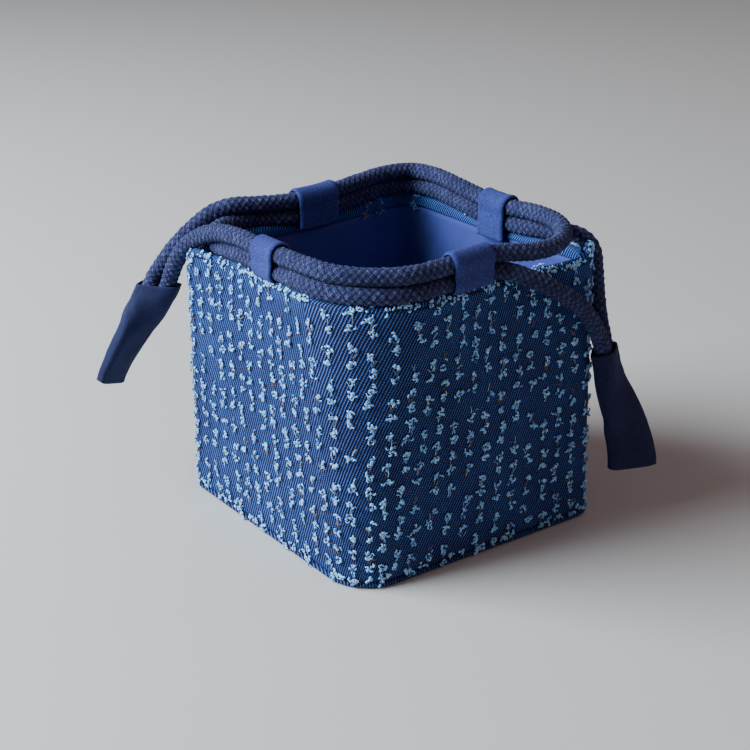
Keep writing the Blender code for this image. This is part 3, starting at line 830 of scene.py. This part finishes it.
lip_profile = ((0.0010, 0.0), (0.0002, 0.0001), (-0.0002, 0.0004), (-0.00035, 0.0008),
               (-0.0002, 0.0012), (0.0002, 0.0015), (0.0010, base_thick))
lip = flat_square("denim_base_cloth", lip_profile, 0.0, 0.0, denim)
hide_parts("denim_base")


# ------------------------------
# Lining: a band and a square of plain navy cotton, sewn to the lower edge of the
# facing and left a little loose, so it stands off the wall in soft upright folds.
# ------------------------------
lining_thick = 0.0012


def plain_cotton(name, deep, middle, pale, slub=0.30):
    """Plain weave: two sets of fine yarns, uneven in thickness and in dye."""
    yarn_pitch = 0.00042
    mat, tree, shader = new_material(name)
    ways = cloth_map(tree)
    drift = cloth_noise(tree, 500.0, 2.0)
    fibre = cloth_noise(tree, 1700.0, 3.0, 0.75)
    patch = cloth_noise(tree, 70.0, 3.0)
    threads = []
    for way in ways:
        phase = maths(tree, "MULTIPLY", way, 2 * math.pi / yarn_pitch)
        threads.append(maths(tree, "SINE", add_share(tree, phase, drift, 3.0)))
    weave = maths(tree, "MULTIPLY", *threads)
    tone = add_uneven(tree, add_share(tree, 0.5, weave, 0.13), fibre, slub)
    tone = add_uneven(tree, tone, patch, 0.4)
    colour = ramp(tree, tone, ((0.0, deep), (0.5, middle), (1.0, pale)))
    cloth_finish(tree, shader, colour, add_share(tree, fibre, weave, 0.5), 0.00007, 0.8,
                 rough=0.88, gloss=0.15, sheen=0.05, tint=(0.5, 0.6, 1.0))
    return mat


lining_cotton = plain_cotton("lining_cotton", (0.026, 0.026, 0.12), (0.044, 0.060, 0.26),
                             (0.078, 0.11, 0.39))
lining_foot = foot + lining_thick + cloth_gap
# The loose cloth: how far it stands off in waves, and one sharp pleat on the back left.
loosest, pleat_rise, pleat_width, slack = 0.0010, 0.0004, 0.0022, 0.00012
pleat_place = 0.62 * girth - 0.028


def lining_row(height, inset):
    """One row of the lining band, at a share of its height."""
    row = []
    for i, place in enumerate(places):
        plan, rim, facing = find_plan(place, height * facing_level, inset)
        top = rim - max(facing, facing_thick) - cloth_gap
        turn = 2 * math.pi * run[i] / girth
        loose = 0.5 + 0.3 * math.sin(3 * turn + 0.7) + 0.2 * math.sin(7 * turn + 2.1)
        pleat = math.exp(-((run[i] - pleat_place) / pleat_width) ** 2) * ease(height * 1.4)
        off = (loosest * loose + pleat_rise * pleat) * math.sin(math.pi * height)
        off += slack * noise.noise((run[i] * 150, height * 12, 5))
        row.append((*(plan - plan.normalized() * off), mix(lining_foot, top, height)))
    return row


# Up the side against the denim, then down the side that shows.
lining_levels, lining_height, top_edge = 40, 0.08, 0.001
levels = np.arange(lining_levels + 1) / lining_levels
rows = [lining_row(level, denim_thick + cloth_gap) for level in levels]
rows += [lining_row(level, denim_thick + cloth_gap + lining_thick) for level in levels[::-1]]
heights = [*(lining_height * levels), *(lining_height + top_edge + lining_height * levels)]
lining_wall = ring_cloth("lining_wall_cloth", rows, heights, lining_cotton)
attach(lining_wall, "root")
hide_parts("lining_wall")

floor_profile = ((0.0003, 0.0), (0.0, 0.0003), (0.0, 0.0009), (0.0003, lining_thick))
lining_floor = flat_square("lining_base_cloth", floor_profile, denim_thick + cloth_gap, foot,
                           lining_cotton)
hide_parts("lining_base")


# ------------------------------
# Tabs: four folded strips of soft navy cotton, one to a side. Each is sewn to the
# facing inside, goes up over both cords and comes down to the rim outside.
# ------------------------------
tab_thick = 0.0010
# From the middle of a cord to the middle of the strip round it.
tab_reach = cord_thick / 2 + 1.3 * cloth_gap + tab_thick / 2
tab_cotton = plain_cotton("tab_cotton", (0.015, 0.014, 0.062), (0.027, 0.038, 0.175),
                          (0.064, 0.11, 0.41), slub=1.5)


def tab_path(drop):
    """(inward, lift) along the middle of the strip, from its foot inside to the rim."""
    waist, waist_height, sewn_top = 0.00030, 0.0011, 0.0012

    def pull(lift):
        """How far the strip draws in between the two cords."""
        off = (lift - (low_cord + high_cord) / 2) / waist_height
        return waist * math.exp(-off ** 2)

    path = [(over_rim + tab_reach, mix(-drop, sewn_top, step / 5)) for step in range(6)]
    for step in range(7):
        lift = mix(low_cord - 0.0006, high_cord, step / 6)
        path.append((over_rim + tab_reach - pull(lift), lift))
    for angle in range(10, 180, 10):
        a = math.radians(angle)
        path.append((over_rim + tab_reach * math.cos(a), high_cord + tab_reach * math.sin(a)))
    for step in range(7):
        lift = mix(high_cord, low_cord, step / 6)
        path.append((over_rim - tab_reach + pull(lift), lift))
    for angle in (190, 200, 210, 220, 228, 234):
        a = math.radians(angle)
        path.append((over_rim + tab_reach * math.cos(a), low_cord + tab_reach * math.sin(a)))
    return path


def cord_tab(name, side, middle, top_width, foot_width, drop, seed):
    """One strip with soft rounded hems along both edges."""
    columns, edge_wave, edge_rate, soft_wave, soft_rate = 17, 0.0003, 350, 0.00010, 400
    hem_round, hem_middle, hem_spread = 0.0004, 0.0009, 0.0005
    path = tab_path(drop)
    length = (on_side(side, 1.0)[0] - on_side(side, 0.0)[0]).length
    rows, travel = [], distance_along(np.array(path))
    for number, (inward, lift) in enumerate(path):
        before, after = path[max(number - 1, 0)], path[min(number + 1, len(path) - 1)]
        ahead = Vector((after[0] - before[0], after[1] - before[1])).normalized()
        outward = Vector((ahead.y, -ahead.x))
        width = mix(foot_width, top_width, ease(lift / high_cord))
        width += edge_wave * math.sin(travel[number] * edge_rate + seed)
        front, rear = [], []
        for step in range(columns):
            share = step / (columns - 1)
            f = middle + (share - 0.5) * width / length
            hem = min(share, 1 - share) * width
            half = math.sqrt(max(1 - (1 - min(hem / hem_round, 1)) ** 2, 0.02)) * tab_thick / 2
            half *= 1.0 + 0.22 * math.exp(-((hem - hem_middle) / hem_spread) ** 2)
            wobble = soft_wave * noise.noise((share * 5, travel[number] * soft_rate, seed))
            for row, sign in ((front, 1), (rear, -1)):
                off = outward * (half * sign + wobble)
                row.append(above_rim(("side", side, f), inward + off.x, lift + off.y))
        rows.append(front + rear[::-1])
    around = 2 * columns
    faces = closed_loft(len(rows), around)
    obj = new_mesh(name, [p for row in rows for p in row], faces, tab_cotton)
    there_and_back = np.concatenate([np.linspace(0, top_width, columns),
                                     np.linspace(top_width, 0, columns)])
    map_points(obj, faces, np.tile(there_and_back, len(rows)), np.repeat(travel, around))
    bpy.context.view_layer.objects.active = obj
    obj.select_set(True)
    bpy.ops.object.mode_set(mode="EDIT")
    bpy.ops.mesh.select_all(action="SELECT")
    bpy.ops.mesh.normals_make_consistent(inside=False)
    bpy.ops.object.mode_set(mode="OBJECT")
    obj.select_set(False)
    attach(obj, "root")
    return obj


# Name, side, middle of the strip as a share of the side, width over the cords, width at
# the sewn ends, how far the inner end reaches below the rim, and a seed for its waves.
for name, side, middle, top_width, foot_width, drop, seed in (
        ("front_right", 0, 0.302, 0.0158, 0.0158, 0.0028, 1),
        ("back_right", 1, 0.495, 0.0124, 0.0124, 0.0028, 2),
        ("back_left", 2, 0.452, 0.0156, 0.0156, 0.0010, 3),
        ("front_left", 3, 0.640, 0.0126, 0.0100, 0.0028, 4)):
    tab = cord_tab(f"tab_cloth_{name}", side, middle, top_width, foot_width, drop, seed)
    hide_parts(f"cord_tab_{name}")


# ------------------------------
# End covers: a sleeve of navy cotton over the two ends of each cord, pressed
# flat towards its sewn foot and rounder at its mouth, painted far darker than the tabs as shade.
# ------------------------------
# Painted shade: the covers' cotton is a much darker copy of the tabs' navy.
cover_cotton = plain_cotton("cover_cotton", (0.005, 0.006, 0.022), (0.014, 0.017, 0.060),
                            (0.040, 0.052, 0.15), slub=0.8)
# Middle of each section, half width, half depth, direction of the width in plan in
# degrees, how much the width falls away and how square the section is, foot to mouth.
left_sections = (
    ((-0.0650, 0.0666, 0.0342), 0.0073, 0.0018, 32, -0.36, 5.0),
    ((-0.0642, 0.0658, 0.0374), 0.0072, 0.0019, 31, -0.35, 4.6),
    ((-0.0622, 0.0639, 0.0430), 0.0071, 0.0022, 28, -0.33, 4.2),
    ((-0.0599, 0.0616, 0.0488), 0.0070, 0.0026, 22, -0.30, 3.8),
    ((-0.0576, 0.0592, 0.0544), 0.0068, 0.0030, 14, -0.27, 3.4),
    ((-0.0552, 0.0571, 0.0600), 0.0067, 0.0037, -20, -0.16, 3.3),
    ((-0.0528, 0.0554, 0.0650), 0.0071, 0.0043, -46, -0.04, 3.8),
    ((-0.0514, 0.0544, 0.0688), 0.0071, 0.0043, -50, 0.00, 3.8),
)
right_sections = (
    ((0.0560, -0.0559, 0.0174), 0.0085, 0.0018, -14, -0.05, 5.0),
    ((0.0559, -0.0558, 0.0202), 0.0085, 0.0018, -13, -0.05, 4.6),
    ((0.0554, -0.0551, 0.0248), 0.0083, 0.0020, -11, -0.05, 4.2),
    ((0.0545, -0.0541, 0.0295), 0.0081, 0.0022, -8, -0.02, 3.8),
    ((0.0535, -0.0531, 0.0346), 0.0075, 0.0024, -2, 0.04, 3.4),
    ((0.0520, -0.0516, 0.0396), 0.0070, 0.0028, 6, 0.14, 3.2),
    ((0.0504, -0.0501, 0.0446), 0.0067, 0.0032, 18, 0.14, 3.0),
    ((0.0493, -0.0491, 0.0504), 0.0067, 0.0037, 32, 0.04, 3.2),
    ((0.0483, -0.0480, 0.0564), 0.0068, 0.0040, 42, -0.04, 3.6),
)


def end_cover(name, sections, seed):
    """A loft through the sections, soft and slightly creased, open at its mouth."""
    around, between = 56, 8
    cloth, girth_flat, girth_on_map, turned_in = 0.0008, 0.031, 0.034, 0.003
    soft_share, crease_share = 0.10, 0.05
    flat = np.array([[*centre, *rest] for centre, *rest in sections])
    position = np.linspace(0, len(sections) - 1, (len(sections) - 1) * between + 1)
    index = np.minimum(position.astype(int), len(sections) - 2)
    t = (position - index)[:, None]
    before, after = flat[np.maximum(index - 1, 0)], flat[np.minimum(index + 2, len(sections) - 1)]
    a, b = flat[index], flat[index + 1]
    fine = 0.5 * (2 * a + (b - before) * t + (2 * before - 5 * a + 4 * b - after) * t ** 2
                  + (3 * a - before - 3 * b + after) * t ** 3)
    axis = unit(np.gradient(fine[:, :3], axis=0))
    travel = distance_along(fine[:, :3])
    rows, lengths = [], []

    def ring(i, shrink=0.0, slide=0.0, trim=1.0):
        """One ring of the sleeve, shrunk all round, slid along or trimmed to a share."""
        middle, along = Vector(fine[i, :3]), Vector(axis[i])
        width, depth, angle, fall, power = fine[i, 3:]
        wide = Vector((math.cos(math.radians(angle)), math.sin(math.radians(angle)), fall))
        wide.normalize()
        deep = along.cross(wide).normalized()
        row = []
        for step in range(around):
            turn = 2 * math.pi * step / around
            c, s = math.cos(turn), math.sin(turn)
            x = math.copysign(abs(c) ** (2 / power), c) * (width * trim - shrink)
            y = math.copysign(abs(s) ** (2 / power), s) * (depth * trim - shrink)
            soft = noise.noise((c * 1.6, s * 1.6, travel[i] * 160 + seed))
            crease = noise.noise((c * 3.0 + 5, s * 3.0, travel[i] * 420 + seed))
            row.append(middle + along * slide + wide * x
                       + deep * y * (1 + soft_share * soft + crease_share * crease))
        rows.append(row)
        lengths.append(travel[i] + slide - 3 * shrink)

    # The sewn foot, the outside up to the mouth, round its edge and down the inside.
    last, inner_foot = len(fine) - 1, 4
    ring(0, 0.0, -0.0004, 0.86)
    for i in range(len(fine)):
        ring(i)
    ring(last, 0.00015, 0.00025)
    ring(last, 0.0005, 0.0003)
    ring(last, cloth, 0.0001)
    for i in range(last - 2, inner_foot, -2):
        ring(i, cloth)
    ring(inner_foot, 0.0009, 0.0, 0.9)
    faces = closed_loft(len(rows), around)
    obj = new_mesh(name, [p for row in rows for p in row], faces, cover_cotton)
    round_map = girth_on_map * np.arange(around) / around
    map_points(obj, faces, np.tile(round_map, len(rows)), np.repeat(lengths, around))
    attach(obj, "root")
    return obj


left_cover = end_cover("cord_cover_cloth_left", left_sections, 1)
right_cover = end_cover("cord_cover_cloth_right", right_sections, 5)
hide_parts("cord_cover_left")
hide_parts("cord_cover_right")


# ------------------------------
# Studio: a plain pale floor, one broad cool lamp on the left and behind, two weak
# lamps on the shaded side, and a little warm light all round.
# ------------------------------
pale, tree, shader = new_material("pale_floor")
wire(tree, shader, Base_Color=(0.50, 0.495, 0.48, 1.0), Roughness=0.8)
bpy.ops.mesh.primitive_plane_add(size=6.0, location=(0, 0, -0.0002))
floor = bpy.context.object
floor.name = "floor"
floor.data.materials.append(pale)

world = bpy.data.worlds.new("studio")
bpy.context.scene.world = world
world.use_nodes = True
wire(world.node_tree, world.node_tree.nodes["Background"], Color=(1.0, 0.77, 0.74, 1.0),
     Strength=0.165)


def soft_lamp(name, direction, distance, size, power, colour):
    """A square lamp that faces the bag from a direction."""
    lit_point = Vector((0, 0, 0.05))
    lamp = bpy.data.objects.new(name, bpy.data.lights.new(name, "AREA"))
    bpy.context.scene.collection.objects.link(lamp)
    lamp.data.size = size
    lamp.data.energy = power
    lamp.data.color = colour
    towards = Vector(direction).normalized()
    lamp.location = lit_point + towards * distance
    lamp.rotation_euler = towards.to_track_quat("Z", "Y").to_euler()


soft_lamp("key", (-0.86, 0.49, 0.64), 1.0, 0.75, 36.0, (0.83, 0.93, 1.0))
soft_lamp("fill", (0.5, -1.0, 0.6), 1.4, 0.9, 1.5, (1.0, 0.68, 0.62))
soft_lamp("side", (1.0, -0.22, 0.4), 1.2, 0.5, 1.3, (0.98, 0.74, 0.95))
